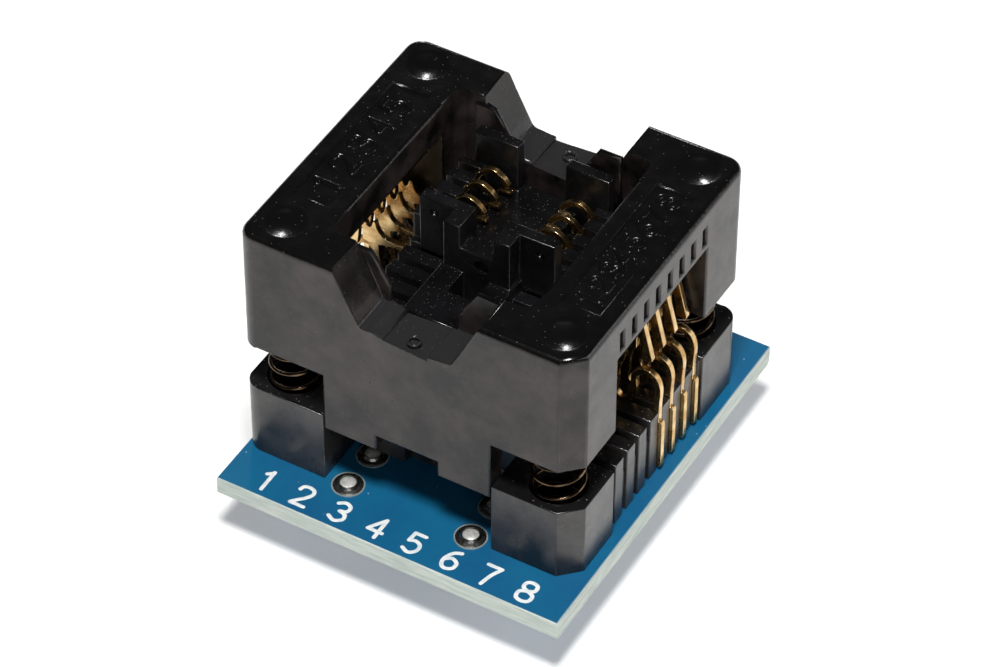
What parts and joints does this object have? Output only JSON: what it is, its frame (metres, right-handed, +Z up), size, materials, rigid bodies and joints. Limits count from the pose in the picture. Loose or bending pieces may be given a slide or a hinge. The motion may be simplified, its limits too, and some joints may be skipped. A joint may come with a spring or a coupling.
{
  "type": "ic test socket",
  "caption": "Open-top press-cover test socket for a small-outline chip on a blue pin adapter board: sprung black frame over gold lever contacts that open as it is pushed down.",
  "frame": {"origin": "under the middle of the board, level with the pin tips", "axes": "+Z up through the open top, +Y from the board's printed front edge to its back, +X to the right"},
  "size_m": [0.021, 0.024, 0.0201],
  "materials": {
    "solder_mask": "satin",
    "tinned_copper": "satin",
    "solder": "gloss",
    "base_plastic": "satin",
    "guide_plastic": "matte",
    "nest_plastic": "matte",
    "cover_plastic": "satin",
    "pin_metal": "satin",
    "spring_steel": "gloss",
    "gold_plate": "satin"
  },
  "bodies": {
    "board_and_base": {"circuit_board": "solder_mask", "board_pads": "tinned_copper", "pin_solder": "solder", "tail_solder": "solder", "socket_base": "base_plastic", "tail_guide_left": "guide_plastic", "tail_guide_right": "guide_plastic", "chip_nest": "nest_plastic", "header_pin_1": "pin_metal", "header_pin_2": "pin_metal", "header_pin_3": "pin_metal", "header_pin_4": "pin_metal", "header_pin_5": "pin_metal", "header_pin_6": "pin_metal", "header_pin_7": "pin_metal", "header_pin_8": "pin_metal", "spring_front_left": "spring_steel", "spring_front_right": "spring_steel", "spring_back_left": "spring_steel", "spring_back_right": "spring_steel", "contact_leg_left_1": "gold_plate", "contact_leg_left_2": "gold_plate", "contact_leg_left_3": "gold_plate", "contact_leg_left_4": "gold_plate", "contact_leg_right_1": "gold_plate", "contact_leg_right_2": "gold_plate", "contact_leg_right_3": "gold_plate", "contact_leg_right_4": "gold_plate"},
    "press_cover": {"cover": "cover_plastic"},
    "arm_left_1": {"contact_arm_left_1": "gold_plate"},
    "arm_left_2": {"contact_arm_left_2": "gold_plate"},
    "arm_left_3": {"contact_arm_left_3": "gold_plate"},
    "arm_left_4": {"contact_arm_left_4": "gold_plate"},
    "arm_right_1": {"contact_arm_right_1": "gold_plate"},
    "arm_right_2": {"contact_arm_right_2": "gold_plate"},
    "arm_right_3": {"contact_arm_right_3": "gold_plate"},
    "arm_right_4": {"contact_arm_right_4": "gold_plate"}
  },
  "joints": [
    {"name": "cover_press", "type": "slide", "parent": "board_and_base", "child": "press_cover", "axis": [0, 0, -1], "range_m": [0, 0.0025], "stiffness_N_per_m": 800, "springref_m": -0.0015, "deforming": ["spring_front_left", "spring_front_right", "spring_back_left", "spring_back_right"]},
    {"name": "arm_left_1_turn", "type": "hinge", "parent": "board_and_base", "child": "arm_left_1", "pos_m": [-0.0075, 0.00064, 0.0096], "axis": [0, -1, 0], "range_deg": [0, 12.05]},
    {"name": "arm_left_2_turn", "type": "hinge", "parent": "board_and_base", "child": "arm_left_2", "pos_m": [-0.0075, 0.00191, 0.0096], "axis": [0, -1, 0], "range_deg": [0, 12.05]},
    {"name": "arm_left_3_turn", "type": "hinge", "parent": "board_and_base", "child": "arm_left_3", "pos_m": [-0.0075, 0.00317, 0.0096], "axis": [0, -1, 0], "range_deg": [0, 12.05]},
    {"name": "arm_left_4_turn", "type": "hinge", "parent": "board_and_base", "child": "arm_left_4", "pos_m": [-0.0075, 0.00445, 0.0096], "axis": [0, -1, 0], "range_deg": [0, 12.05]},
    {"name": "arm_right_1_turn", "type": "hinge", "parent": "board_and_base", "child": "arm_right_1", "pos_m": [0.0069, 0.00064, 0.0096], "axis": [0, 1, 0], "range_deg": [0, 12.05]},
    {"name": "arm_right_2_turn", "type": "hinge", "parent": "board_and_base", "child": "arm_right_2", "pos_m": [0.0069, 0.00191, 0.0096], "axis": [0, 1, 0], "range_deg": [0, 12.05]},
    {"name": "arm_right_3_turn", "type": "hinge", "parent": "board_and_base", "child": "arm_right_3", "pos_m": [0.0069, 0.00317, 0.0096], "axis": [0, 1, 0], "range_deg": [0, 12.05]},
    {"name": "arm_right_4_turn", "type": "hinge", "parent": "board_and_base", "child": "arm_right_4", "pos_m": [0.0069, 0.00445, 0.0096], "axis": [0, 1, 0], "range_deg": [0, 12.05]}
  ],
  "couplings": [
    {"joint": "arm_left_1_turn", "follows": "cover_press", "rad_per_m": 83.776},
    {"joint": "arm_left_2_turn", "follows": "cover_press", "rad_per_m": 83.776},
    {"joint": "arm_left_3_turn", "follows": "cover_press", "rad_per_m": 83.776},
    {"joint": "arm_left_4_turn", "follows": "cover_press", "rad_per_m": 83.776},
    {"joint": "arm_right_1_turn", "follows": "cover_press", "rad_per_m": 83.776},
    {"joint": "arm_right_2_turn", "follows": "cover_press", "rad_per_m": 83.776},
    {"joint": "arm_right_3_turn", "follows": "cover_press", "rad_per_m": 83.776},
    {"joint": "arm_right_4_turn", "follows": "cover_press", "rad_per_m": 83.776}
  ]
}
